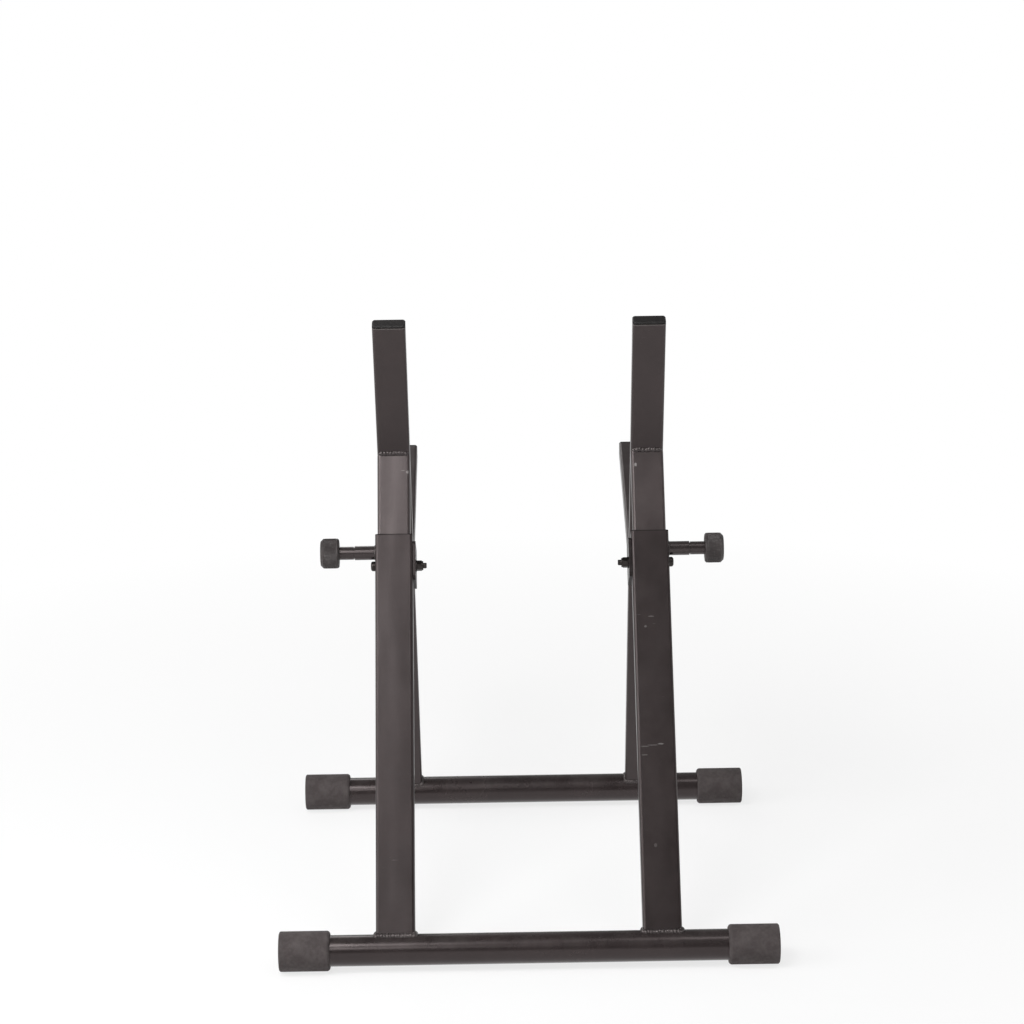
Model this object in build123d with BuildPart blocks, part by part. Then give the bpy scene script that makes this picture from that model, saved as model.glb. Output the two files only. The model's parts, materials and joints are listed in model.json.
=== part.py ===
import os
from math import cos, radians, sin

from build123d import *

os.makedirs("parts", exist_ok=True)

# all sizes in mm; X across, Y towards the front of the load, Z up
# origin on the floor, midway between the legs and midway along the depth

# crossbars
bar_od = 32.0
bar_wall = 1.5
bar_length = 504.0
feet_spread = 438.0  # rear bar axis to front bar axis
side_spacing = 273.0  # left tubes to right tubes, on centres

# rubber foot caps
cap_od = 41.0
cap_length = 52.0
cap_end = 3.5
cap_edge = 1.2  # chamfer round the closed end
cap_round = 3.5  # fillet round the mouth

# back posts: front leg below, backrest above
post_width = 35.0
post_depth = 15.0
post_wall = 1.5
post_corner = 3.0
post_lean = 18.0  # degrees back from upright
post_length = 630.5  # front bar axis to the cut top

# hinge tongues, cut from the post's tube and welded to it
tongue_fit = 0.5  # gap to the rear leg's bore, each side

# rear legs
leg_wall = 2.0
leg_corner = 3.0
leg_lean = 33.05  # degrees forward from upright
leg_reach = 408.1  # rear bar axis to hinge bolt
leg_top = 33.0  # hinge bolt to the cut top
slot_below = 11.0  # front wall cut away from here below the bolt

# support arms
arm_width = 35.0
arm_depth = 20.0
arm_wall = 1.5
arm_corner = 3.0
arm_top = 334.0  # front bar axis to the arm's top face, along the post
arm_length = 222.0

# push-in plugs
plug_flange = 3.0
plug_insert = 14.0
plug_wall = 2.0
plug_edge = 1.2

# hinge plates, inboard
plate_thick = 3.0
plate_behind = 9.0  # bolt to the plate's edges
plate_ahead = 35.0
plate_below = 17.0
plate_above = 26.0
plate_corner = 5.0

# hinge bolts
bolt_d = 6.0
bolt_fit = 0.05  # running gap in the bush, radial
bolt_head_d = 10.5
bolt_head = 4.8
bolt_socket = 4.0  # across flats
bolt_socket_depth = 2.4
bolt_past_nut = 3.6
washer_d = 12.5
washer_thick = 1.2
nut_flats = 10.0
nut_height = 5.2
nut_collar = 1.6
bush_od = 10.0

# pull pins
pin_above = 15.0  # hinge bolt to pin axis
pin_d = 7.0
pin_fit = 0.05  # running gap, radial
pin_tip = 0.8
pin_lock = 4.0  # inward travel, into the tongue
pin_draw = 4.0  # outward travel
pin_collar_d = 9.2
pin_collar = 3.0
pin_in_knob = 16.0
barrel_od = 15.0
barrel_length = 22.0
barrel_groove = 1.0
guide_spigot_d = 12.0
guide_neck_d = 14.0
guide_neck = 15.8  # neck in view, before the knob
guide_in_knob = 5.0
guide_bore = 9.6  # spring chamber
guide_end = 3.5
collar_gap = 0.3
spring_wire = 0.8  # square wire
spring_turns = 4
spring_pitch = 3.6
spring_gap = 0.1

# knobs
knob_od = 32.0
knob_length = 19.5
knob_outer = 3.0  # chamfer round the outer rim
knob_inner = 1.4  # chamfer round the inner rim
knob_fit = 0.4  # gap round the neck, radial
dish_d = 21.0
dish_depth = 0.7

# places worked out from the sizes above
bar_radius = bar_od / 2
floor_gap = cap_od / 2
leg_width = post_width + 2 * (tongue_fit + leg_wall)
leg_depth = post_depth + 2 * (tongue_fit + leg_wall)
lean_back = radians(post_lean)
lean_ahead = radians(leg_lean)
arm_reach = post_depth / 2 + arm_length + plug_flange
arm_tip = feet_spread - (arm_top - arm_depth) * sin(lean_back) + arm_reach * cos(lean_back)
rear_y = (floor_gap - arm_tip) / 2
front_y = rear_y + feet_spread
bolt_y = rear_y + leg_reach * sin(lean_ahead)
bolt_z = floor_gap + leg_reach * cos(lean_ahead)
leg_up = Vector(0, sin(lean_ahead), cos(lean_ahead))
leg_front = Vector(0, cos(lean_ahead), -sin(lean_ahead))
post_up = Vector(0, -sin(lean_back), cos(lean_back))
post_front = Vector(0, cos(lean_back), sin(lean_back))
bolt_at = Vector(0, bolt_y, bolt_z)
front_at = Vector(0, front_y, floor_gap)
rear_at = Vector(0, rear_y, floor_gap)
post_rear_face = front_at - post_front * (post_depth / 2)
tongue_reach = (post_rear_face - bolt_at).dot(post_front) / leg_up.dot(post_front)
pin_at = bolt_at + leg_up * pin_above
plug_corner = post_corner - post_wall


def save(piece, name):
    piece.part.label = name
    export_step(piece.part, f"parts/{name}.step")


def tubeProfile(width, depth, wall, corner):
    RectangleRounded(width, depth, corner)
    RectangleRounded(width - 2 * wall, depth - 2 * wall, corner - wall, mode=Mode.SUBTRACT)


for end, bar_at in (("rear", rear_at), ("front", front_at)):
    bar_plane = Plane(bar_at, x_dir=(0, 1, 0), z_dir=(1, 0, 0))

    with BuildPart() as crossbar:
        with BuildSketch(bar_plane):
            Circle(bar_radius)
            Circle(bar_radius - bar_wall, mode=Mode.SUBTRACT)
        extrude(amount=bar_length / 2, both=True)
    save(crossbar, f"{end}_crossbar")

    for side, out in (("left", -1), ("right", 1)):
        cap_plane = Plane(
            bar_at + Vector(out * (bar_length / 2 + cap_end), 0, 0), x_dir=(0, 1, 0), z_dir=(-out, 0, 0)
        )
        with BuildPart() as foot_cap:
            with BuildSketch(cap_plane):
                Circle(cap_od / 2)
            extrude(amount=cap_length)
            cap_axis = Axis(cap_plane.origin, cap_plane.z_dir)
            chamfer(foot_cap.faces().sort_by(cap_axis).first.edges(), cap_edge)
            fillet(foot_cap.faces().sort_by(cap_axis).last.edges(), cap_round)
            with BuildSketch(cap_plane.offset(cap_end)):
                Circle(bar_radius)
            extrude(amount=cap_length, mode=Mode.SUBTRACT)
        save(foot_cap, f"{side}_{end}_foot_cap")


for side, out in (("left", -1), ("right", 1)):
    side_x = out * side_spacing / 2
    leg_outer = out * (side_spacing + leg_width) / 2
    leg_inner = out * (side_spacing - leg_width) / 2
    post_plane = Plane(front_at + Vector(side_x, 0, 0), x_dir=(1, 0, 0), z_dir=post_up)
    leg_plane = Plane(rear_at + Vector(side_x, 0, 0), x_dir=(1, 0, 0), z_dir=leg_up)
    hinge_plane = leg_plane.offset(leg_reach)
    # looks along X: its x is the leg's front normal, its y runs up the leg
    bolt_plane = Plane(bolt_at + Vector(side_x, 0, 0), x_dir=leg_front, z_dir=leg_front.cross(leg_up))
    out_dir = Vector(out, 0, 0)
    front_bar_plane = Plane(front_at + Vector(side_x, 0, 0), x_dir=(0, 1, 0), z_dir=(1, 0, 0))
    rear_bar_plane = Plane(rear_at + Vector(side_x, 0, 0), x_dir=(0, 1, 0), z_dir=(1, 0, 0))

    with BuildPart() as back_post:
        with BuildSketch(post_plane):
            tubeProfile(post_width, post_depth, post_wall, post_corner)
        extrude(amount=post_length)
        with BuildSketch(front_bar_plane):
            Circle(bar_radius)
        extrude(amount=post_width, both=True, mode=Mode.SUBTRACT)
    save(back_post, f"{side}_back_post")

    with BuildPart() as top_plug:
        with BuildSketch(post_plane.offset(post_length)):
            RectangleRounded(post_width, post_depth, post_corner)
        extrude(amount=plug_flange)
        chamfer(top_plug.faces().sort_by(Axis.Z).last.edges(), plug_edge)
        with BuildSketch(post_plane.offset(post_length - plug_insert)):
            RectangleRounded(post_width - 2 * post_wall, post_depth - 2 * post_wall, plug_corner)
            RectangleRounded(
                post_width - 2 * (post_wall + plug_wall),
                post_depth - 2 * (post_wall + plug_wall),
                plug_corner / 2,
                mode=Mode.SUBTRACT,
            )
        extrude(amount=plug_insert)
    save(top_plug, f"{side}_top_plug")

    arm_root = front_at + Vector(side_x, 0, 0) + post_up * (arm_top - arm_depth / 2)
    arm_plane = Plane(arm_root + post_front * (post_depth / 2), x_dir=(1, 0, 0), z_dir=post_front)

    with BuildPart() as support_arm:
        with BuildSketch(arm_plane):
            tubeProfile(arm_width, arm_depth, arm_wall, arm_corner)
        extrude(amount=arm_length)
    save(support_arm, f"{side}_support_arm")

    with BuildPart() as arm_plug:
        with BuildSketch(arm_plane.offset(arm_length)):
            RectangleRounded(arm_width, arm_depth, arm_corner)
        extrude(amount=plug_flange)
        chamfer(arm_plug.faces().sort_by(Axis(arm_plane.origin, post_front)).last.edges(), plug_edge)
        with BuildSketch(arm_plane.offset(arm_length - plug_insert)):
            RectangleRounded(arm_width - 2 * arm_wall, arm_depth - 2 * arm_wall, arm_corner - arm_wall)
            RectangleRounded(
                arm_width - 2 * (arm_wall + plug_wall),
                arm_depth - 2 * (arm_wall + plug_wall),
                (arm_corner - arm_wall) / 2,
                mode=Mode.SUBTRACT,
            )
        extrude(amount=plug_insert)
    save(arm_plug, f"{side}_arm_plug")

    with BuildPart() as tongue:
        with BuildSketch(hinge_plane.offset(-post_depth / 2)):
            tubeProfile(post_width, post_depth, post_wall, post_corner)
        extrude(amount=tongue_reach + 2 * post_depth)
        # round the lower end about the bolt
        with BuildSketch(bolt_plane):
            Circle(post_depth / 2)
            Rectangle(post_depth, tongue_reach + 2 * post_depth, align=(Align.CENTER, Align.MIN))
        extrude(amount=post_width, both=True, mode=Mode.INTERSECT)
        # mitre the upper end against the post's rear face
        split(bisect_by=Plane(post_rear_face, x_dir=(1, 0, 0), z_dir=-post_front), keep=Keep.TOP)
        with BuildSketch(bolt_plane):
            Circle(bush_od / 2)
        extrude(amount=post_width, both=True, mode=Mode.SUBTRACT)
        with BuildSketch(Plane(pin_at + Vector(side_x, 0, 0), x_dir=leg_front, z_dir=out_dir)):
            Circle(pin_d / 2 + 2 * pin_fit)
        extrude(amount=post_width, mode=Mode.SUBTRACT)
    save(tongue, f"{side}_hinge_tongue")

    with BuildPart() as bush:
        with BuildSketch(bolt_plane):
            Circle(bush_od / 2)
            Circle(bolt_d / 2 + bolt_fit, mode=Mode.SUBTRACT)
        extrude(amount=post_width / 2, both=True)
    save(bush, f"{side}_hinge_bush")

    with BuildPart() as rear_leg:
        with BuildSketch(leg_plane):
            tubeProfile(leg_width, leg_depth, leg_wall, leg_corner)
        extrude(amount=leg_reach + leg_top)
        with BuildSketch(rear_bar_plane):
            Circle(bar_radius)
        extrude(amount=leg_width, both=True, mode=Mode.SUBTRACT)
        # the front wall is open at the top, so that the tongue can swing out
        slot_face = Plane(bolt_at + Vector(side_x, 0, 0), x_dir=(1, 0, 0), z_dir=leg_front)
        with BuildSketch(slot_face):
            with Locations((0, (slot_below - leg_top) / 2)):
                Rectangle(leg_width - 2 * leg_wall, leg_top + slot_below)
        extrude(amount=leg_depth, mode=Mode.SUBTRACT)
        with BuildSketch(bolt_plane):
            Circle(bolt_d / 2)
        extrude(amount=leg_width, both=True, mode=Mode.SUBTRACT)
        with BuildSketch(Plane(pin_at + Vector(side_x, 0, 0), x_dir=leg_front, z_dir=out_dir)):
            Circle(pin_d / 2 + pin_fit)
        extrude(amount=leg_width, mode=Mode.SUBTRACT)
    save(rear_leg, f"{side}_rear_leg")

    plate_plane = Plane(Vector(leg_inner, bolt_y, bolt_z), x_dir=leg_front, z_dir=bolt_plane.z_dir)
    with BuildPart() as hinge_plate:
        with BuildSketch(plate_plane):
            with Locations(((plate_ahead - plate_behind) / 2, (plate_above - plate_below) / 2)):
                RectangleRounded(plate_ahead + plate_behind, plate_above + plate_below, plate_corner)
            Circle(bolt_d / 2, mode=Mode.SUBTRACT)
        extrude(amount=-out * plate_thick)
    save(hinge_plate, f"{side}_hinge_plate")

    # stations along the bolt, counted inwards from the leg's outer face
    bolt_out = Plane(Vector(leg_outer, bolt_y, bolt_z), x_dir=leg_front, z_dir=out_dir)
    bolt_in = Plane(Vector(leg_inner, bolt_y, bolt_z), x_dir=leg_front, z_dir=-out_dir)
    nut_seat = plate_thick + washer_thick
    nut_top = nut_height + nut_collar

    with BuildPart() as hinge_bolt:
        with BuildSketch(bolt_out):
            Circle(bolt_head_d / 2)
        extrude(amount=bolt_head)
        fillet(hinge_bolt.faces().sort_by(Axis(bolt_out.origin, out_dir)).last.edges(), bolt_head / 2)
        with BuildSketch(bolt_out.offset(bolt_head)):
            RegularPolygon(bolt_socket / 2, 6, major_radius=False)
        extrude(amount=-bolt_socket_depth, mode=Mode.SUBTRACT)
        with BuildSketch(bolt_out):
            Circle(bolt_d / 2)
        extrude(amount=-(leg_width + nut_seat + nut_top + bolt_past_nut))
        chamfer(hinge_bolt.faces().sort_by(Axis(bolt_out.origin, out_dir)).first.edges(), bolt_d / 8)
    save(hinge_bolt, f"{side}_hinge_bolt")

    with BuildPart() as washer:
        with BuildSketch(bolt_in.offset(plate_thick)):
            Circle(washer_d / 2)
            Circle(bolt_d / 2, mode=Mode.SUBTRACT)
        extrude(amount=washer_thick)
    save(washer, f"{side}_washer")

    with BuildPart() as lock_nut:
        with BuildSketch(bolt_in.offset(nut_seat)):
            RegularPolygon(nut_flats / 2, 6, major_radius=False)
        extrude(amount=nut_height)
        with BuildSketch(bolt_in.offset(nut_seat + nut_height)):
            Circle(nut_flats / 2)
        extrude(amount=nut_collar)
        fillet(
            lock_nut.faces().sort_by(Axis(bolt_in.origin, -out_dir)).last.edges(), nut_collar / 2
        )
        with BuildSketch(bolt_in.offset(nut_seat)):
            Circle(bolt_d / 2)
        extrude(amount=nut_top, mode=Mode.SUBTRACT)
    save(lock_nut, f"{side}_lock_nut")

    # stations along the pull pin, counted outwards from the leg's outer face
    pin_plane = Plane(Vector(leg_outer, pin_at.Y, pin_at.Z), x_dir=leg_front, z_dir=out_dir)
    neck_from = barrel_length + barrel_groove
    knob_from = neck_from + guide_neck
    guide_to = knob_from + guide_in_knob
    chamber_to = guide_to - guide_end
    spring_long = spring_pitch * spring_turns
    collar_to = chamber_to - spring_long
    collar_from = collar_to - pin_collar
    chamber_from = collar_from - pin_lock - collar_gap
    pin_to = knob_from + pin_in_knob

    with BuildPart() as barrel:
        with BuildSketch(pin_plane):
            Circle(barrel_od / 2)
            Circle(guide_spigot_d / 2, mode=Mode.SUBTRACT)
        extrude(amount=barrel_length)
    save(barrel, f"{side}_pin_barrel")

    with BuildPart() as guide:
        with BuildSketch(pin_plane):
            Circle(guide_spigot_d / 2)
        extrude(amount=neck_from)
        with BuildSketch(pin_plane.offset(neck_from)):
            Circle(guide_neck_d / 2)
        extrude(amount=guide_to - neck_from)
        with BuildSketch(pin_plane):
            Circle(pin_d / 2 + pin_fit)
        extrude(amount=guide_to, mode=Mode.SUBTRACT)
        with BuildSketch(pin_plane.offset(chamber_from)):
            Circle(guide_bore / 2)
        extrude(amount=chamber_to - chamber_from, mode=Mode.SUBTRACT)
    save(guide, f"{side}_pin_guide")

    with BuildPart() as pull_pin:
        with BuildSketch(pin_plane.offset(-leg_wall)):
            Circle(pin_d / 2)
        extrude(amount=leg_wall + pin_to)
        chamfer(pull_pin.faces().sort_by(Axis(pin_plane.origin, out_dir)).first.edges(), pin_tip)
        with BuildSketch(pin_plane.offset(collar_from)):
            Circle(pin_collar_d / 2)
        extrude(amount=pin_collar)
    save(pull_pin, f"{side}_pull_pin")

    spring_radius = (guide_bore / 2 + pin_d / 2) / 2
    coil_rise = spring_long - spring_wire - 2 * spring_gap
    with BuildPart() as coil_spring:
        coil_from = pin_plane.offset(collar_to + spring_wire / 2 + spring_gap).origin
        with BuildLine():
            coil = Helix(
                coil_rise / spring_turns, coil_rise, spring_radius, center=coil_from, direction=out_dir
            )
        with BuildSketch(Plane(coil @ 0, z_dir=coil % 0)):
            Rectangle(spring_wire, spring_wire)
        sweep(is_frenet=True)
    save(coil_spring, f"{side}_coil_spring")

    with BuildPart() as knob:
        with BuildSketch(pin_plane.offset(knob_from)):
            Circle(knob_od / 2)
        extrude(amount=knob_length)
        knob_axis = Axis(pin_plane.origin, out_dir)
        chamfer(knob.faces().sort_by(knob_axis).first.edges(), knob_inner)
        chamfer(knob.faces().sort_by(knob_axis).last.edges(), knob_outer)
        with BuildSketch(pin_plane.offset(knob_from + knob_length)):
            Circle(dish_d / 2)
        extrude(amount=-dish_depth, mode=Mode.SUBTRACT)
        with BuildSketch(pin_plane.offset(knob_from)):
            Circle(guide_neck_d / 2 + knob_fit)
        extrude(amount=guide_in_knob + pin_lock + 2 * knob_fit, mode=Mode.SUBTRACT)
        with BuildSketch(pin_plane.offset(knob_from)):
            Circle(pin_d / 2)
        extrude(amount=pin_in_knob, mode=Mode.SUBTRACT)
    save(knob, f"{side}_knob")

post_top = front_at + post_up * (post_length + plug_flange) + post_front * (post_depth / 2)
print("height", round(post_top.Z, 2), "front", round(arm_tip + rear_y, 2))
print("bolt", round(bolt_y, 3), round(bolt_z, 3), "tongue", round(tongue_reach, 2))
print("fold side", round(front_y, 3), round(rear_y, 3))
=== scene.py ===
import json
import random
from math import asin, cos, pi, radians, sin, sqrt

import bmesh
import bpy
from mathutils import Matrix, Vector


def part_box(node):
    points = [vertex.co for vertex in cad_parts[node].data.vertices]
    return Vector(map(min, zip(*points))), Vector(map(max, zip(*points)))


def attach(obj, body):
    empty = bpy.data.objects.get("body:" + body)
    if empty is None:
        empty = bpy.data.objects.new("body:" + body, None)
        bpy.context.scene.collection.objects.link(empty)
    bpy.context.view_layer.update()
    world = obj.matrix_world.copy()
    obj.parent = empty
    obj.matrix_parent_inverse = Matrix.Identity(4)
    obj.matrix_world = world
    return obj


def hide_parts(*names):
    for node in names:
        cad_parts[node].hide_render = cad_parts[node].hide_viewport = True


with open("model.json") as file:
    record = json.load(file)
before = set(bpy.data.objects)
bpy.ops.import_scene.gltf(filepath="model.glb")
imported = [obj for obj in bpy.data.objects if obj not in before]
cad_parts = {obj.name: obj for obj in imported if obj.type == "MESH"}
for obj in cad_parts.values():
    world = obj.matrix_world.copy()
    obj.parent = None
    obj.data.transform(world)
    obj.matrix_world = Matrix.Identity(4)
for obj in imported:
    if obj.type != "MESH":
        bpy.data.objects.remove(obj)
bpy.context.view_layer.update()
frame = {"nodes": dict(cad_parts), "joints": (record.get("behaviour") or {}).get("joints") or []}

scene = bpy.context.scene
nodes = frame["nodes"]
joints = {joint["name"]: joint for joint in frame["joints"]}
sides = (("left", -1), ("right", 1))
plainWhite = (1, 1, 1, 1)

# camera

cameraSet = {
    "place": (-0.0249, -2.8528, 1.2215),
    "turn": -0.301,    # degrees about the upright
    "tilt": 15.94,     # degrees below level
    "roll": -0.82,
    "lens": 96.68,
    "sensor": 36,
    "clipEnd": 60,
}


def makeCamera():
    data = bpy.data.cameras.new("standCamera")
    data.lens = cameraSet["lens"]
    data.sensor_width = cameraSet["sensor"]
    data.clip_end = cameraSet["clipEnd"]
    camera = bpy.data.objects.new("standCamera", data)
    scene.collection.objects.link(camera)
    camera.matrix_world = (
        Matrix.Translation(cameraSet["place"])
        @ Matrix.Rotation(radians(cameraSet["turn"]), 4, "Z")
        @ Matrix.Rotation(radians(90 - cameraSet["tilt"]), 4, "X")
        @ Matrix.Rotation(radians(cameraSet["roll"]), 4, "Z")
    )
    scene.camera = camera


makeCamera()
print("camera set")

# helpers for nodes and meshes


def addNode(tree, kind, links=None, **values):
    made = tree.nodes.new(kind)
    for name, value in values.items():
        setattr(made, name, value)
    for name, value in (links or {}).items():
        socket = made.inputs[name]
        if isinstance(value, bpy.types.NodeSocket):
            tree.links.new(value, socket)
        else:
            socket.default_value = value
    return made


def maths(tree, how, a, b=0.0, c=None):
    links = {0: a, 1: b}
    if c is not None:
        links[2] = c
    return addNode(tree, "ShaderNodeMath", links, operation=how).outputs[0]


def vectorMaths(tree, how, a, b=None):
    links = {0: a} if b is None else {0: a, 1: b}
    outputs = addNode(tree, "ShaderNodeVectorMath", links, operation=how).outputs
    return outputs["Value"] if how in ("LENGTH", "DOT_PRODUCT") else outputs[0]


def mapRange(tree, value, low, high, first=0.0, last=1.0, **values):
    links = {0: value, 1: low, 2: high, 3: first, 4: last}
    return addNode(tree, "ShaderNodeMapRange", links, **values).outputs[0]


def spread(tree, value, low, high):
    return mapRange(tree, value, low, high, interpolation_type="SMOOTHSTEP")


def lerp(tree, value, low, high):
    return maths(tree, "MULTIPLY_ADD", value, high - low, low)


def objectPlace(tree):
    return addNode(tree, "ShaderNodeTexCoord").outputs["Object"]


def noiseOf(tree, place, scale, detail, rough=0.5):
    links = {"Vector": place, "Scale": scale, "Detail": detail, "Roughness": rough}
    return addNode(tree, "ShaderNodeTexNoise", links).outputs[0]


def mixColor(tree, factor, a, b):
    made = addNode(tree, "ShaderNodeMix", data_type="RGBA")
    made.clamp_factor = True
    for number, value in ((0, factor), (6, a), (7, b)):
        if isinstance(value, bpy.types.NodeSocket):
            tree.links.new(value, made.inputs[number])
        else:
            made.inputs[number].default_value = value
    return made.outputs[2]


def newMaterial(name):
    material = bpy.data.materials.new(name)
    material.use_nodes = True
    tree = material.node_tree
    tree.nodes.clear()
    return material, tree


def meshObject(name, mesh, smooth=True):
    data = bpy.data.meshes.new(name)
    mesh.to_mesh(data)
    mesh.free()
    made = bpy.data.objects.new(name, data)
    scene.collection.objects.link(made)
    if smooth:
        data.polygons.foreach_set("use_smooth", [True] * len(data.polygons))
    return made


def finishPiece(piece, body, material):
    piece.data.materials.append(material)
    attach(piece, body)


def extrudeRing(mesh, ring):
    # carries a ring of edges on as a new ring at the same place
    ringSet = set(ring)
    edges = [e for e in mesh.edges if e.verts[0] in ringSet and e.verts[1] in ringSet]
    made = bmesh.ops.extrude_edge_only(mesh, edges=edges)["geom"]
    return [v for v in made if isinstance(v, bmesh.types.BMVert)]


# lamps, backdrop and floor

studioSet = {
    "floorSize": 60,
    "floorColor": (0.86, 0.86, 0.86, 1),
    "floorGlow": (0.74, 1.0),        # share of plain white that the camera sees, near and far
    "glowFrom": 0.5,
    "glowTo": 1.3,
    "mirrorGlow": 0.95,              # the same share for what is mirrored in the paint
    "worldLight": 0.28,
    "backdropTop": (0.02, 0.22),     # sine of the height where the white backdrop ends
    "lamps": (
        # name, place, size, power
        ("keyLamp", (-0.66, -0.98, 1.62), 0.75, 13),
        ("sideLamp", (-1.9, -0.8, 1.2), 1.3, 27),
        ("fillLamp", (2.3, -0.3, 0.9), 1.4, 8),
        ("lensLamp", (-0.72, -2.5, 1.9), 1.0, 11),
        ("topLamp", (-0.6, -1.6, 2.5), 0.9, 5),
        ("frontLamp", (-0.9, 2.6, 1.8), 1.6, 14),
        ("barLamp", (0.9, -1.0, 2.9), 1.2, 11),
    ),
    "aim": (0, -0.05, 0.3),
}


def makeLamps():
    for name, place, size, power in studioSet["lamps"]:
        lamp = bpy.data.lights.new(name, "AREA")
        lamp.shape = "DISK"
        lamp.size = size
        lamp.energy = power
        lampObject = bpy.data.objects.new(name, lamp)
        lampObject.visible_camera = False
        scene.collection.objects.link(lampObject)
        turned = (Vector(studioSet["aim"]) - Vector(place)).to_track_quat("-Z", "Y").to_matrix()
        lampObject.matrix_world = Matrix.Translation(place) @ turned.to_4x4()


def makeBackdrop():
    world = bpy.data.worlds.new("studioWorld")
    world.use_nodes = True
    tree = world.node_tree
    tree.nodes.clear()
    path = addNode(tree, "ShaderNodeLightPath").outputs
    way = addNode(tree, "ShaderNodeTexCoord").outputs["Generated"]
    height = addNode(tree, "ShaderNodeSeparateXYZ", {0: way}).outputs["Z"]
    backdrop = mapRange(tree, height, *studioSet["backdropTop"], 1.0, 0.0)
    # the camera sees plain white, what is mirrored sees it low down, and the rest is soft light
    mirrored = maths(tree, "MAXIMUM", path["Is Glossy Ray"], path["Is Transmission Ray"])
    mirrored = maths(tree, "MULTIPLY", mirrored, backdrop)
    seen = maths(tree, "MAXIMUM", mirrored, path["Is Camera Ray"])
    light, white = (
        addNode(tree, "ShaderNodeBackground", {"Color": plainWhite, "Strength": share}).outputs[0]
        for share in (studioSet["worldLight"], 1.0)
    )
    both = addNode(tree, "ShaderNodeMixShader", {0: seen, 1: light, 2: white}).outputs[0]
    addNode(tree, "ShaderNodeOutputWorld", {"Surface": both})
    scene.world = world


def makeFloor():
    grid = bmesh.new()
    bmesh.ops.create_grid(grid, x_segments=1, y_segments=1, size=studioSet["floorSize"] / 2)
    floor = meshObject("studioFloor", grid)
    material, tree = newMaterial("studioFloorWhite")
    path = addNode(tree, "ShaderNodeLightPath").outputs
    away = vectorMaths(tree, "LENGTH", objectPlace(tree))
    glowing = mapRange(tree, away, studioSet["glowFrom"], studioSet["glowTo"],
                       *studioSet["floorGlow"])
    # the floor glows for the camera and for the gloss, its matt share keeps the soft shadows
    seen = maths(tree, "MULTIPLY", path["Is Camera Ray"], glowing)
    mirrored = maths(tree, "MULTIPLY", path["Is Glossy Ray"], studioSet["mirrorGlow"])
    share = maths(tree, "MAXIMUM", seen, mirrored)
    matt = addNode(tree, "ShaderNodeBsdfDiffuse", {"Color": studioSet["floorColor"]}).outputs[0]
    glow = addNode(tree, "ShaderNodeEmission", {"Color": plainWhite, "Strength": 1.0}).outputs[0]
    both = addNode(tree, "ShaderNodeMixShader", {0: share, 1: matt, 2: glow}).outputs[0]
    addNode(tree, "ShaderNodeOutputMaterial", {"Surface": both})
    floor.data.materials.append(material)


makeLamps()
makeBackdrop()
makeFloor()
scene.view_settings.view_transform = "Standard"
print("studio made")

# tubes that the marks and the welds are placed by

tubeSet = {
    "postLean": 18,        # degrees back from upright
    "postDepth": 0.015,
    "legDepth": 0.020,
    "legTop": 0.033,       # hinge bolt to the leg's cut top
    "armTop": 0.334,       # front crossbar to the arm's upper face, along the post
    "armDepth": 0.020,
}


def middleOf(name):
    return sum(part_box(name), Vector()) / 2


def sizeOf(name):
    low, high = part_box(name)
    return high - low


hinge = Vector(joints["fold"]["pos_m"])
rearBar = middleOf("rear_crossbar")
frontBar = middleOf("front_crossbar")
barRadius = sizeOf("rear_crossbar").z / 2
sideX = middleOf("right_back_post").x
postWidth = sizeOf("right_back_post").x
legWidth = sizeOf("right_rear_leg").x
postDepth = tubeSet["postDepth"]
postLean = radians(tubeSet["postLean"])
legUp = (hinge - rearBar).normalized()
legFront = Vector((0, legUp.z, -legUp.y))
postUp = Vector((0, -sin(postLean), cos(postLean)))
postFront = Vector((0, postUp.z, -postUp.y))
postTop = max(corner.co.dot(postUp) for corner in nodes["left_back_post"].data.vertices)
acrossX = Vector((1, 0, 0))

# effects that several materials share

grainSet = {
    "cloudScale": 16.0,
    "peelScale": 900.0,
    "waveScale": (34.0, 9.0, 9.0),    # slow waves in the drawn tube, longest along it
    "waveHeight": 14.0,
    "tone": (0.3, 0.7),
}
wearSet = {"edge": (0.02, 0.22), "patch": (0.5, 0.66)}
scuffSet = {"stretch": (46.0, 210.0, 760.0), "line": (0.70, 0.76), "whereScale": 23.0,
            "where": (0.56, 0.64)}
dustSet = {"facing": (0.1, 1.0), "patchScale": 38.0, "patch": (0.35, 0.75)}
chipSet = {"ragScale": 1100.0, "rag": 1.3, "edge": (0.65, 0.95)}
seamSet = {"edge": (0.6, 1.0)}


def newGroup(name, inputs, outputs):
    tree = bpy.data.node_groups.new(name, "ShaderNodeTree")
    for label, kind, value in inputs:
        socket = tree.interface.new_socket(label, in_out="INPUT", socket_type=kind)
        socket.default_value = value
    for label, kind in outputs:
        tree.interface.new_socket(label, in_out="OUTPUT", socket_type=kind)
    given = tree.nodes.new("NodeGroupInput").outputs
    return tree, given, tree.nodes.new("NodeGroupOutput").inputs


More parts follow.
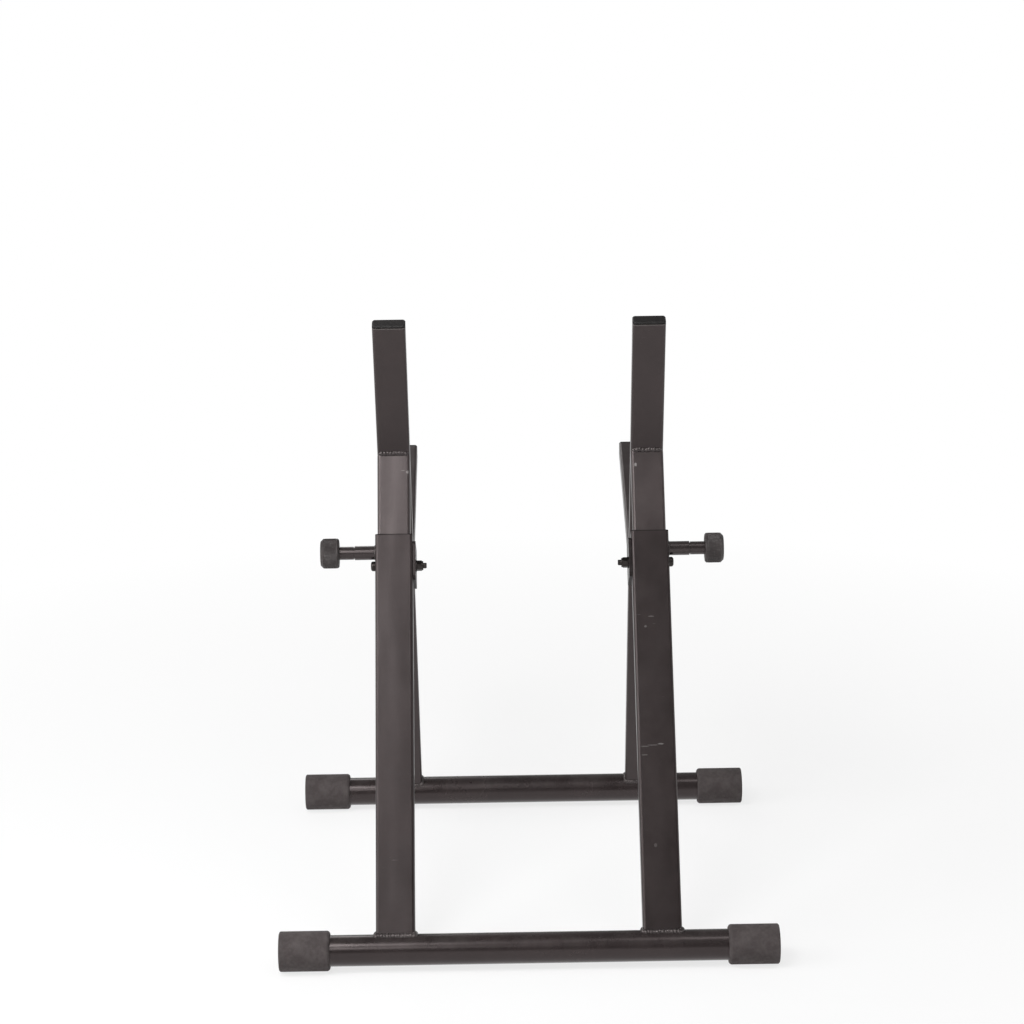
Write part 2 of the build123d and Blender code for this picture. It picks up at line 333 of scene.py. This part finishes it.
def makeCoatGrain():
    # powder coat: soft cloudy tone, fine orange peel and slow waves for the bump
    tree, given, out = newGroup(
        "coatGrain",
        (("Cloud Scale", "NodeSocketFloat", grainSet["cloudScale"]),
         ("Peel Scale", "NodeSocketFloat", grainSet["peelScale"]),
         ("Wave Scale", "NodeSocketVector", grainSet["waveScale"]),
         ("Wave Height", "NodeSocketFloat", grainSet["waveHeight"])),
        (("Tone", "NodeSocketFloat"), ("Height", "NodeSocketFloat")),
    )
    place = objectPlace(tree)
    cloud = noiseOf(tree, place, given["Cloud Scale"], detail=5.0, rough=0.6)
    peel = noiseOf(tree, place, given["Peel Scale"], detail=2.0)
    pulled = vectorMaths(tree, "MULTIPLY", place, given["Wave Scale"])
    waves = noiseOf(tree, pulled, 1.0, detail=1.0, rough=0.4)
    tree.links.new(spread(tree, cloud, *grainSet["tone"]), out["Tone"])
    tree.links.new(maths(tree, "MULTIPLY_ADD", waves, given["Wave Height"], peel), out["Height"])
    return tree


def makeEdgeWear():
    # rubbed edges, found from the rounded normal and broken up by noise
    tree, given, out = newGroup(
        "edgeWear",
        (("Width", "NodeSocketFloat", 0.001), ("Amount", "NodeSocketFloat", 0.5),
         ("Break Up", "NodeSocketFloat", 90.0)),
        (("Mask", "NodeSocketFloat"),),
    )
    flat = addNode(tree, "ShaderNodeNewGeometry").outputs["Normal"]
    rounded = addNode(tree, "ShaderNodeBevel", {"Radius": given["Width"]}, samples=4).outputs[0]
    turned = maths(tree, "SUBTRACT", 1.0, vectorMaths(tree, "DOT_PRODUCT", flat, rounded))
    edge = spread(tree, turned, *wearSet["edge"])
    patch = noiseOf(tree, objectPlace(tree), given["Break Up"], detail=6.0, rough=0.65)
    rubbed = maths(tree, "MULTIPLY", edge, spread(tree, patch, *wearSet["patch"]))
    tree.links.new(maths(tree, "MULTIPLY", rubbed, given["Amount"]), out["Mask"])
    return tree


def makeScuffs():
    # thin light rubs that run across the tubes, few and far between
    tree, given, out = newGroup(
        "scuffs",
        (("Stretch", "NodeSocketVector", scuffSet["stretch"]), ("Amount", "NodeSocketFloat", 0.4)),
        (("Mask", "NodeSocketFloat"),),
    )
    place = objectPlace(tree)
    pulled = vectorMaths(tree, "MULTIPLY", place, given["Stretch"])
    line = spread(tree, noiseOf(tree, pulled, 1.0, detail=3.0, rough=0.6), *scuffSet["line"])
    where = noiseOf(tree, place, scuffSet["whereScale"], detail=2.0)
    rubbed = maths(tree, "MULTIPLY", line, spread(tree, where, *scuffSet["where"]))
    tree.links.new(maths(tree, "MULTIPLY", rubbed, given["Amount"]), out["Mask"])
    return tree


def makeDust():
    # pale dust on what faces up
    tree, given, out = newGroup(
        "dust",
        (("Amount", "NodeSocketFloat", 0.3),),
        (("Mask", "NodeSocketFloat"),),
    )
    normal = addNode(tree, "ShaderNodeNewGeometry").outputs["Normal"]
    up = addNode(tree, "ShaderNodeSeparateXYZ", {0: normal}).outputs["Z"]
    patch = noiseOf(tree, objectPlace(tree), dustSet["patchScale"], detail=7.0, rough=0.7)
    lying = maths(tree, "MULTIPLY", spread(tree, up, *dustSet["facing"]),
                  spread(tree, patch, *dustSet["patch"]))
    tree.links.new(maths(tree, "MULTIPLY", lying, given["Amount"]), out["Mask"])
    return tree


def makeChip():
    # one small chip or rub with a ragged edge, at a place of its own
    tree, given, out = newGroup(
        "chip",
        (("Place", "NodeSocketVector", (0.0, 0.0, 0.0)),
         ("Reach", "NodeSocketVector", (0.001, 0.001, 0.001)),
         ("Amount", "NodeSocketFloat", 1.0)),
        (("Mask", "NodeSocketFloat"),),
    )
    place = objectPlace(tree)
    off = vectorMaths(tree, "SUBTRACT", place, given["Place"])
    away = vectorMaths(tree, "LENGTH", vectorMaths(tree, "DIVIDE", off, given["Reach"]))
    rag = chipSet["rag"]
    noise = noiseOf(tree, place, chipSet["ragScale"], detail=3.0, rough=0.6)
    ragged = maths(tree, "MULTIPLY_ADD", noise, rag, maths(tree, "SUBTRACT", away, rag / 2))
    mask = maths(tree, "SUBTRACT", 1.0, spread(tree, ragged, *chipSet["edge"]))
    tree.links.new(maths(tree, "MULTIPLY", mask, given["Amount"]), out["Mask"])
    return tree


def makePaintedLine():
    # a painted line across a tube, where the piece inside it comes out; the legs use it as painted
    # shade in the gap, the posts as a painted highlight along the lip under the plug
    tree, given, out = newGroup(
        "seam",
        (("Place", "NodeSocketVector", (0.0, 0.0, 0.0)),
         ("Way", "NodeSocketVector", (0.0, 0.0, 1.0)),
         ("Width", "NodeSocketFloat", 0.001)),
        (("Mask", "NodeSocketFloat"),),
    )
    off = vectorMaths(tree, "SUBTRACT", objectPlace(tree), given["Place"])
    along = maths(tree, "ABSOLUTE", vectorMaths(tree, "DOT_PRODUCT", off, given["Way"]))
    near = maths(tree, "DIVIDE", along, given["Width"])
    mask = maths(tree, "SUBTRACT", 1.0, spread(tree, near, *seamSet["edge"]))
    tree.links.new(mask, out["Mask"])
    return tree


coatGrain = makeCoatGrain()
edgeWear = makeEdgeWear()
scuffs = makeScuffs()
dust = makeDust()
chip = makeChip()
seam = makePaintedLine()


def useGroup(tree, group, **values):
    made = tree.nodes.new("ShaderNodeGroup")
    made.node_tree = group
    for label, value in values.items():
        made.inputs[label].default_value = value
    return made.outputs


def closeMaterial(tree, color, roughness, height, bump, plain):
    strength, distance = bump
    bumped = addNode(tree, "ShaderNodeBump",
                     {"Strength": strength, "Distance": distance, "Height": height}).outputs[0]
    shader = addNode(tree, "ShaderNodeBsdfPrincipled",
                     {"Base Color": color, "Roughness": roughness, "Normal": bumped, **plain})
    addNode(tree, "ShaderNodeOutputMaterial", {"Surface": shader.outputs[0]})


# powder coat

coatSet = {
    "dark": (0.0122, 0.0086, 0.0085, 1),
    "light": (0.0202, 0.0147, 0.0145, 1),
    "rub": (0.20, 0.19, 0.187, 1),
    "dust": (0.17, 0.16, 0.155, 1),
    "rough": (0.30, 0.40),
    "rubRough": 0.12,                # added where it is rubbed
    "edge": {"Width": 0.0011, "Amount": 0.55, "Break Up": 110.0},
    "scuff": 0.42,
    "dustAmount": 0.10,
    "peel": (0.14, 0.0004),
    "shine": 0.40,
    "tint": (1.0, 0.87, 0.87, 1),    # of the gloss
    "chips": (),
    # painted line across a tube: dark by default, as painted shade in a gap
    "seam": None,
    "seamColor": (0.0015, 0.0012, 0.0012, 1),
    "seamRough": 0.5,
}

# place, reach, strength
coatChips = (
    ((-0.1215, 0.0015, 0.4528), (0.0017, 0.0030, 0.0019), 0.85),
    ((-0.1262, 0.0025, 0.4543), (0.0026, 0.0030, 0.0006), 0.35),
    ((0.1237, 0.0039, 0.4565), (0.0018, 0.0030, 0.0022), 0.9),
    ((0.1205, 0.0085, 0.4690), (0.0015, 0.0040, 0.0024), 0.5),
    ((0.1240, -0.1668, 0.1984), (0.0050, 0.0040, 0.0006), 0.32),
    ((0.1325, -0.1661, 0.1994), (0.0064, 0.0040, 0.0005), 0.35),
    ((0.1408, -0.1654, 0.2004), (0.0040, 0.0040, 0.0008), 0.6),
    ((0.1235, -0.1720, 0.1908), (0.0040, 0.0040, 0.0007), 0.3),
    ((0.1350, -0.0907, 0.3157), (0.0038, 0.0040, 0.0007), 0.3),
    ((0.1288, -0.0966, 0.3066), (0.0016, 0.0040, 0.0012), 0.35),
    ((0.1320, -0.2240, 0.1112), (0.0018, 0.0040, 0.0022), 0.2),
)


def makeCoat(name, **changes):
    finish = {**coatSet, **changes}
    material, tree = newMaterial(name)
    grain = useGroup(tree, coatGrain)
    wear = useGroup(tree, edgeWear, **finish["edge"])
    rubs = useGroup(tree, scuffs, Amount=finish["scuff"])
    dusty = useGroup(tree, dust, Amount=finish["dustAmount"])
    color = mixColor(tree, grain["Tone"], finish["dark"], finish["light"])
    color = mixColor(tree, dusty["Mask"], color, finish["dust"])
    marks = maths(tree, "MAXIMUM", wear["Mask"], rubs["Mask"])
    for place, reach, strength in finish["chips"]:
        one = useGroup(tree, chip, Place=place, Reach=reach, Amount=strength)
        marks = maths(tree, "MAXIMUM", marks, one["Mask"])
    color = mixColor(tree, marks, color, finish["rub"])
    rubRough = maths(tree, "MULTIPLY", marks, finish["rubRough"])
    rough = maths(tree, "ADD", lerp(tree, grain["Tone"], *finish["rough"]), rubRough)
    if finish["seam"]:
        line = useGroup(tree, seam, **finish["seam"])
        color = mixColor(tree, line["Mask"], color, finish["seamColor"])
        rough = maths(tree, "MULTIPLY_ADD", line["Mask"], finish["seamRough"], rough)
    closeMaterial(tree, color, rough, grain["Height"], finish["peel"],
                  {"Specular IOR Level": finish["shine"], "Specular Tint": finish["tint"]})
    return material


# painted highlight: a light, glossy line along the lip under each top plug
frameCoat = makeCoat(
    "frameCoat", chips=coatChips, shine=0.58,
    seam={"Place": postUp * postTop, "Way": postUp, "Width": 0.0014},
    seamColor=(0.068, 0.062, 0.060, 1), seamRough=0.1)
barCoat = makeCoat("barCoat", rough=(0.20, 0.28), shine=0.55, peel=(0.04, 0.0003), scuff=0.2)
# painted shade: a dark line along the gap where each tongue comes out of its leg
legCoat = makeCoat(
    "legCoat", dark=(0.0092, 0.0064, 0.0063, 1), light=(0.0155, 0.0112, 0.0110, 1),
    shine=0.38, dustAmount=0.05, chips=coatChips,
    seam={"Place": hinge + legUp * tubeSet["legTop"], "Way": legUp, "Width": 0.0013})
# painted shade: a darker copy of the coat for the hinge plates, which sit in shade on the legs'
# inner sides
shadedPlateCoat = makeCoat(
    "shadedPlateCoat", dark=(0.0060, 0.0046, 0.0046, 1), light=(0.0105, 0.0080, 0.0080, 1),
    shine=0.26)
# the strong, finely broken edge rub on the bead crests makes light specks, painted glints
weldCoat = makeCoat(
    "weldCoat", dark=(0.016, 0.0138, 0.0136, 1), light=(0.038, 0.033, 0.032, 1),
    edge={"Width": 0.0008, "Amount": 0.85, "Break Up": 420.0},
    rough=(0.16, 0.38), peel=(0.6, 0.0006), dustAmount=0.05, shine=0.6)
barrelGloss = makeCoat(
    "barrelGloss", dark=(0.0135, 0.0105, 0.0104, 1), light=(0.0200, 0.0157, 0.0156, 1),
    rough=(0.17, 0.25), scuff=0.1, peel=(0.05, 0.0002), shine=0.6)

# rubber feet

rubberSet = {
    "dark": (0.0535, 0.0446, 0.0441, 1),
    "light": (0.0735, 0.0622, 0.0616, 1),
    "chalk": (0.115, 0.103, 0.100, 1),
    "rough": (0.80, 0.66),
    "mottleScale": 260.0,
    "broadScale": 72.8,
    "broadShare": 0.5,               # of the tone, the mottle has the rest
    "pitScale": 1300.0,
    "pitDepth": 0.4,
    "tone": (0.36, 0.64),
    "edge": {"Width": 0.0022, "Amount": 0.6, "Break Up": 160.0},
    "dustAmount": 0.22,
    "bump": (0.45, 0.0007),
    "shine": 0.22,
}


def makeRubber(name, finish):
    material, tree = newMaterial(name)
    place = objectPlace(tree)
    mottle = noiseOf(tree, place, finish["mottleScale"], detail=6.0, rough=0.68)
    broad = noiseOf(tree, place, finish["broadScale"], detail=3.0, rough=0.55)
    pits = addNode(tree, "ShaderNodeTexVoronoi",
                   {"Vector": place, "Scale": finish["pitScale"]}).outputs["Distance"]
    share = finish["broadShare"]
    both = maths(tree, "MULTIPLY_ADD", broad, share, maths(tree, "MULTIPLY", mottle, 1 - share))
    tone = spread(tree, both, *finish["tone"])
    wear = useGroup(tree, edgeWear, **finish["edge"])
    dusty = useGroup(tree, dust, Amount=finish["dustAmount"])
    chalky = maths(tree, "MAXIMUM", wear["Mask"], dusty["Mask"])
    color = mixColor(tree, tone, finish["dark"], finish["light"])
    color = mixColor(tree, chalky, color, finish["chalk"])
    height = maths(tree, "MULTIPLY_ADD", pits, finish["pitDepth"], mottle)
    closeMaterial(tree, color, lerp(tree, tone, *finish["rough"]), height, finish["bump"],
                  {"Specular IOR Level": finish["shine"]})
    return material


footRubber = makeRubber("footRubber", rubberSet)

# plugs and knobs

plasticSet = {
    "dark": (0.020, 0.0185, 0.018, 1),
    "light": (0.030, 0.0275, 0.027, 1),
    "rub": (0.10, 0.095, 0.092, 1),
    "rough": (0.5, 0.6),
    "sparkScale": 1400.0,
    "toneScale": 60.0,
    "tone": (0.3, 0.7),
    "edge": {"Width": 0.0011, "Amount": 0.6, "Break Up": 300.0},
    "bump": (0.22, 0.0003),
    "shine": 0.5,
}


def makePlastic(name, **changes):
    finish = {**plasticSet, **changes}
    material, tree = newMaterial(name)
    place = objectPlace(tree)
    spark = noiseOf(tree, place, finish["sparkScale"], detail=3.0, rough=0.6)
    cloud = noiseOf(tree, place, finish["toneScale"], detail=5.0, rough=0.6)
    tone = spread(tree, cloud, *finish["tone"])
    wear = useGroup(tree, edgeWear, **finish["edge"])
    color = mixColor(tree, tone, finish["dark"], finish["light"])
    color = mixColor(tree, wear["Mask"], color, finish["rub"])
    closeMaterial(tree, color, lerp(tree, tone, *finish["rough"]), spark, finish["bump"],
                  {"Specular IOR Level": finish["shine"]})
    return material


plugPlastic = makePlastic("plugPlastic", dark=(0.0045, 0.0038, 0.0037, 1),
                          light=(0.0085, 0.0072, 0.0070, 1), shine=0.28)
knobGrip = makePlastic("knobGrip", dark=(0.0215, 0.0163, 0.0162, 1),
                       light=(0.0340, 0.0268, 0.0265, 1), rough=(0.5, 0.62))

# bolts, pins, springs and bushes

metalSet = {
    "turning": (4200.0, 60.0, 60.0),    # marks run round X, the axis of every bolt and pin
    "toneScale": 240.0,
    "tone": (0.3, 0.7),
    "markShare": 0.4,                   # of the tone, slow clouds have the rest
    "bump": (0.12, 0.0002),
}


def makeMetal(name, dark, light, rough):
    material, tree = newMaterial(name)
    place = objectPlace(tree)
    pulled = vectorMaths(tree, "MULTIPLY", place, metalSet["turning"])
    marks = noiseOf(tree, pulled, 1.0, detail=2.0)
    cloud = noiseOf(tree, place, metalSet["toneScale"], detail=5.0, rough=0.6)
    tone = spread(tree, cloud, *metalSet["tone"])
    share = metalSet["markShare"]
    both = maths(tree, "MULTIPLY_ADD", marks, share, maths(tree, "MULTIPLY", tone, 1 - share))
    closeMaterial(tree, mixColor(tree, both, dark, light), lerp(tree, both, *rough), marks,
                  metalSet["bump"], {"Metallic": 1.0})
    return material


blackZinc = makeMetal("blackZinc", dark=(0.020, 0.0165, 0.016, 1),
                      light=(0.060, 0.054, 0.052, 1), rough=(0.24, 0.36))
turnedSteel = makeMetal("turnedSteel", dark=(0.42, 0.415, 0.41, 1),
                        light=(0.56, 0.555, 0.55, 1), rough=(0.18, 0.32))
print("materials made")

# finishes on the carried-over nodes

finishes = {
    "crossbar": barCoat,
    "back_post": frameCoat,
    "support_arm": frameCoat,
    "hinge_tongue": frameCoat,
    "rear_leg": legCoat,
    "hinge_plate": shadedPlateCoat,
    "foot_cap": footRubber,
    "top_plug": plugPlastic,
    "arm_plug": plugPlastic,
    "knob": knobGrip,
    "hinge_bolt": blackZinc,
    "washer": blackZinc,
    "lock_nut": blackZinc,
    "pin_barrel": barrelGloss,
    "pin_guide": barrelGloss,
    "pull_pin": turnedSteel,
    "coil_spring": turnedSteel,
    "hinge_bush": turnedSteel,
}

for name, piece in nodes.items():
    material = next(finishes[part] for part in finishes if name.endswith(part))
    if not piece.material_slots:
        piece.data.materials.append(material)
    for materialSlot in piece.material_slots:
        materialSlot.material = material
print("nodes finished")

# weld beads

beadSet = {
    "radius": 0.0024,
    "ripple": 0.0031,          # length of one puddle
    "rippleDepth": 0.34,
    "rippleShape": 1.4,
    "pace": (0.85, 1.15),      # how evenly the puddles follow
    "uneven": (0.9, 1.1),
    "step": 0.00085,
    "sides": 12,
    "wobble": 0.0005,
    "flatten": 0.82,
    "taper": 3,                # steps from a bead's end to its full size
    "endSize": 0.08,
    "seed": 11,
    "legScale": 1.55,
    "postScale": 1.25,
    "tongueScale": 1.5,
    "armScale": 0.95,
    "barrelScale": 0.55,
    "tongueInset": 0.0012,     # bead's end to the post's edge
    "armInset": 0.0030,
    "saddleSteps": 6,          # on each side of a tube's foot
    "saddleRise": 0.6,         # how far a foot's bead faces up
    "cornerShare": 0.7,
    "tongueLean": 0.9,
    "barrelSteps": 28,
    "barrelLean": 0.8,
}


def walkPath(corners, closed, step):
    # evenly spaced places along straight runs, each with the way out of the joint there
    spots = []
    following = corners[1:] + corners[:1] if closed else corners[1:]
    for (a, outA), (b, outB) in zip(corners, following):
        count = max(1, round((b - a).length / step))
        for k in range(count):
            t = k / count
            spots.append((a.lerp(b, t), outA.lerp(outB, t).normalized()))
    if not closed:
        spots.append(corners[-1])
    return spots


def weldBead(name, corners, body, closed=False, scale=1.0):
    draw = random.Random(beadSet["seed"] + sum(map(ord, name)))
    spots = walkPath(corners, closed, beadSet["step"])
    count = len(spots)
    last = count if closed else count - 1
    taper = beadSet["taper"]
    mesh = bmesh.new()
    bmesh.ops.create_circle(mesh, segments=beadSet["sides"], radius=1.0, cap_ends=not closed)
    ring = list(mesh.verts)
    frameNow = Matrix.Identity(4)
    phase = draw.random()
    for k in range(count):
        spot, out = spots[k]
        ahead = spots[(k + 1) % count][0] if closed or k < count - 1 else spot
        behind = spots[k - 1][0] if closed or k > 0 else spot
        along = (ahead - behind).normalized()
        out = (out - along * out.dot(along)).normalized()
        side = along.cross(out)
        phase += beadSet["step"] / beadSet["ripple"] * draw.uniform(*beadSet["pace"])
        puddle = 1 - beadSet["rippleDepth"] * (phase % 1.0) ** beadSet["rippleShape"]
        fromEnd = min(k, last - k) / taper
        ends = 1.0 if closed else min(1.0, sqrt(max(beadSet["endSize"], fromEnd)))
        size = beadSet["radius"] * scale * puddle * ends * draw.uniform(*beadSet["uneven"])
        shift = side * draw.uniform(-1, 1) * beadSet["wobble"] * scale
        turned = Matrix((side, out * beadSet["flatten"], along)).transposed().to_4x4()
        frameNext = Matrix.Translation(spot + shift) @ turned @ Matrix.Diagonal((size, size, 1, 1))
        if k > 0:
            ring = extrudeRing(mesh, ring)
        bmesh.ops.transform(mesh, matrix=frameNext @ frameNow.inverted(), verts=ring)
        frameNow = frameNext
    if closed:
        bmesh.ops.bridge_loops(mesh, edges=[e for e in mesh.edges if e.is_boundary])
    else:
        bmesh.ops.holes_fill(mesh, edges=[e for e in mesh.edges if e.is_boundary])
    bmesh.ops.recalc_face_normals(mesh, faces=mesh.faces)
    bead = meshObject(name, mesh)
    smoothing = bead.modifiers.new("smoothing", "SUBSURF")
    smoothing.levels = smoothing.render_levels = 1
    finishPiece(bead, body, weldCoat)


def saddlePath(bar, up, front, x, width, depth):
    # round the foot of a flat tube that sits on a crossbar
    spots = []
    corners = ((-1, -1), (-1, 1), (1, 1), (1, -1))
    steps = beadSet["saddleSteps"]
    halfTurn = asin(depth / 2 / barRadius)
    for (a, b), (c, d) in zip(corners, corners[1:] + corners[:1]):
        for k in range(steps):
            t = k / steps
            beside, angle = a + (c - a) * t, (b + (d - b) * t) * halfTurn
            radial = up * cos(angle) + front * sin(angle)
            outward = radial * beadSet["saddleRise"]
            if k == 0:
                outward += (acrossX * a + front * b) * beadSet["cornerShare"]
            elif a == c:
                outward += acrossX * a
            else:
                outward += front * b
            spot = bar + acrossX * (x + beside * width / 2) + radial * barRadius
            spots.append((spot, outward.normalized()))
    return spots


def crossBead(name, meet, outward, x, inset, scale):
    # a straight bead across the post's width
    span = postWidth / 2 - inset
    ends = [(meet + acrossX * (x + way * span), outward) for way in (-1, 1)]
    weldBead(name, ends, "front_frame", scale=scale)


def makeBeads(side, out):
    x = out * sideX
    weldBead(f"{side}LegFootBead",
             saddlePath(rearBar, legUp, legFront, x, legWidth, tubeSet["legDepth"]),
             "rear_frame", closed=True, scale=beadSet["legScale"])
    weldBead(f"{side}PostFootBead",
             saddlePath(frontBar, postUp, postFront, x, postWidth, postDepth),
             "front_frame", closed=True, scale=beadSet["postScale"])
    # the tongue's rear and front faces meet the post's rear face
    rearFace = frontBar - postFront * postDepth / 2
    for face, way in (("Upper", -1), ("Lower", 1)):
        start = hinge + legFront * way * postDepth / 2
        reach = (rearFace - start).dot(postFront) / legUp.dot(postFront)
        outward = (-postFront + legFront * way * beadSet["tongueLean"]).normalized()
        crossBead(f"{side}Tongue{face}Bead", start + legUp * reach, outward, x,
                  beadSet["tongueInset"], beadSet["tongueScale"])
    armTop = tubeSet["armTop"]
    for face, lift, way in (("Upper", armTop, 1), ("Lower", armTop - tubeSet["armDepth"], -1)):
        meet = frontBar + postUp * lift + postFront * postDepth / 2
        outward = (postFront + postUp * way).normalized()
        crossBead(f"{side}Arm{face}Bead", meet, outward, x, beadSet["armInset"],
                  beadSet["armScale"])
    ring = []
    pinAt = middleOf(f"{side}_pin_barrel")
    pinAt.x = out * (sideX + legWidth / 2)
    barrelRadius = sizeOf(f"{side}_pin_barrel").z / 2
    for k in range(beadSet["barrelSteps"]):
        angle = 2 * pi * k / beadSet["barrelSteps"]
        radial = Vector((0, cos(angle), sin(angle)))
        outward = (radial + acrossX * out * beadSet["barrelLean"]).normalized()
        ring.append((pinAt + radial * barrelRadius, outward))
    weldBead(f"{side}BarrelBead", ring, "rear_frame", closed=True, scale=beadSet["barrelScale"])


for side, out in sides:
    makeBeads(side, out)
print("weld beads made")

# knurled knobs

knobSet = {
    "grips": 116,          # crests round the knob
    "rows": 15,            # crests along it
    "relief": 0.00022,
    "outerChamfer": 0.0030,
    "innerChamfer": 0.0014,
    "edgeBand": 0.0008,
    "dishDepth": 0.0007,
    "dishRadius": 0.0105,
    "dishSlope": 0.0012,
    "socketDepth": 0.0095,
    "socketRadius": 0.0074,
    "pinRadius": 0.0036,
}


def makeKnob(side, out):
    low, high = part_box(f"{side}_knob")
    middle = (low + high) / 2
    radius = (high.z - low.z) / 2
    length = high.x - low.x
    inner = low.x if out > 0 else high.x
    outerChamfer, innerChamfer = knobSet["outerChamfer"], knobSet["innerChamfer"]
    relief, rowCount = knobSet["relief"], knobSet["rows"]
    band = length - outerChamfer - innerChamfer - 2 * knobSet["edgeBand"]
    bandFrom = innerChamfer + knobSet["edgeBand"]
    rows = [(bandFrom + band * k / rowCount, radius - relief) for k in range(rowCount + 1)]
    dishRadius = knobSet["dishRadius"]
    stations = [
        # along the knob, radius
        (knobSet["socketDepth"], knobSet["pinRadius"]),
        (knobSet["socketDepth"], knobSet["socketRadius"]),
        (0.0, knobSet["socketRadius"]),
        (0.0, radius - innerChamfer),
        (innerChamfer, radius),
        *rows,
        (length - outerChamfer, radius),
        (length, radius - outerChamfer),
        (length, dishRadius),
        (length - knobSet["dishDepth"], dishRadius - knobSet["dishSlope"]),
    ]
    mesh = bmesh.new()
    bmesh.ops.create_circle(mesh, segments=2 * knobSet["grips"], radius=1.0)
    ring = list(mesh.verts)
    rowRings = []
    frameNow = Matrix.Identity(4)
    turned = Matrix.Rotation(pi / 2, 4, "Y")
    for number, (along, size) in enumerate(stations):
        place = Vector((inner + out * along, middle.y, middle.z))
        frameNext = Matrix.Translation(place) @ turned @ Matrix.Diagonal((size, size, 1, 1))
        if number:
            ring = extrudeRing(mesh, ring)
        bmesh.ops.transform(mesh, matrix=frameNext @ frameNow.inverted(), verts=ring)
        frameNow = frameNext
        if (along, size) in rows:
            rowRings.append(list(ring))

    def turnOf(vert):
        return Vector((vert.co.y - middle.y, vert.co.z - middle.z)).angle_signed(Vector((1, 0)))

    # every second point of each inner row stands out, staggered from row to row
    for number, rowRing in enumerate(rowRings[1:-1], start=1):
        for crest in sorted(rowRing, key=turnOf)[number % 2::2]:
            radial = Vector((0, crest.co.y - middle.y, crest.co.z - middle.z)).normalized()
            bmesh.ops.translate(mesh, verts=[crest], vec=radial * relief)
    bmesh.ops.holes_fill(mesh, edges=[e for e in mesh.edges if e.is_boundary])
    bmesh.ops.recalc_face_normals(mesh, faces=mesh.faces)
    knob = meshObject(f"{side}KnurledKnob", mesh, smooth=False)
    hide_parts(f"{side}_knob")
    finishPiece(knob, f"{side}_pull_pin_body", knobGrip)


for side, out in sides:
    makeKnob(side, out)
print("knobs made")

# bolt threads

threadSet = {
    "pitch": 0.0010,
    "turns": 3,
    "depth": 0.0004,
    "perTurn": 28,
    "radius": 0.0030,
    "crest": 0.0001,      # how far it stands out of the bolt
    "flank": 0.42,        # half its width, in pitches
    "fromTip": 0.4,       # in pitches
    "wall": 0.0002,
}


def makeThread(side, out):
    low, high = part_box(f"{side}_hinge_bolt")
    tip = high.x if out < 0 else low.x
    pitch, turns, radius = threadSet["pitch"], threadSet["turns"], threadSet["radius"]
    centre = Vector((0, hinge.y, hinge.z))
    start = tip + out * pitch * (turns + threadSet["fromTip"])
    half = pitch * threadSet["flank"]
    foot = radius - threadSet["depth"]
    profile = [
        Vector((start - half, 0, foot)),
        Vector((start, 0, radius + threadSet["crest"])),
        Vector((start + half, 0, foot)),
    ]
    mesh = bmesh.new()
    verts = [bmesh.ops.create_vert(mesh, co=centre + p)["vert"][0] for p in profile]
    edges = [mesh.edges.new(pair) for pair in zip(verts, verts[1:])]
    steps = threadSet["perTurn"] * turns
    bmesh.ops.spin(mesh, geom=verts + edges, cent=centre, axis=acrossX, angle=2 * pi * turns,
                   steps=steps, dvec=acrossX * -out * pitch * turns / steps, use_merge=False)
    bmesh.ops.recalc_face_normals(mesh, faces=mesh.faces)
    thread = meshObject(f"{side}BoltThread", mesh)
    wall = thread.modifiers.new("wall", "SOLIDIFY")
    wall.thickness = threadSet["wall"]
    finishPiece(thread, "rear_frame", blackZinc)


for side, out in sides:
    makeThread(side, out)
print("threads made")
